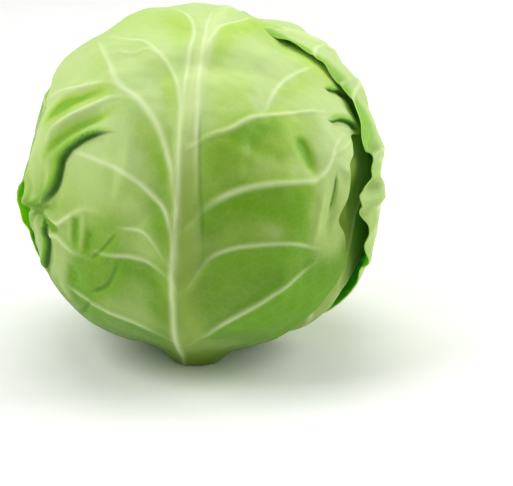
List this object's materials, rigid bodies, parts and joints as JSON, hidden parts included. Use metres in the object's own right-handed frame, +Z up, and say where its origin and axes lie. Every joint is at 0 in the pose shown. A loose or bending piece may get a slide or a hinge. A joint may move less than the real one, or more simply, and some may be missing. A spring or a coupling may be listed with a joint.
{
  "type": "green cabbage",
  "caption": "Round head of green cabbage cut from the plant: a dense heart on a short cut stem, wrapped in loose overlapping leaves with pale ribs and wavy turned-out margins.",
  "frame": {"origin": "centre of the flat cut across the stem, on which the head stands", "axes": "+Z up through the stem and the crown; the broad front leaf faces -Y, and +X is to its right as it is looked at"},
  "size_m": [0.1774, 0.1837, 0.1653],
  "materials": {
    "wrapper_leaf": "waxy leaf, soft sheen",
    "inner_leaf": "waxy leaf, soft sheen",
    "heart_leaf": "smooth pale leaf",
    "cut_stem": "matt cut flesh with a fibrous rind"
  },
  "bodies": {
    "root": {"heart": "heart_leaf", "stem": "cut_stem", "inner_leaf_back": "inner_leaf", "inner_leaf_right": "inner_leaf", "inner_leaf_left": "inner_leaf", "wrapper_leaf_back_left": "wrapper_leaf", "wrapper_leaf_front": "wrapper_leaf", "wrapper_leaf_right": "wrapper_leaf"}
  },
  "joints": []
}
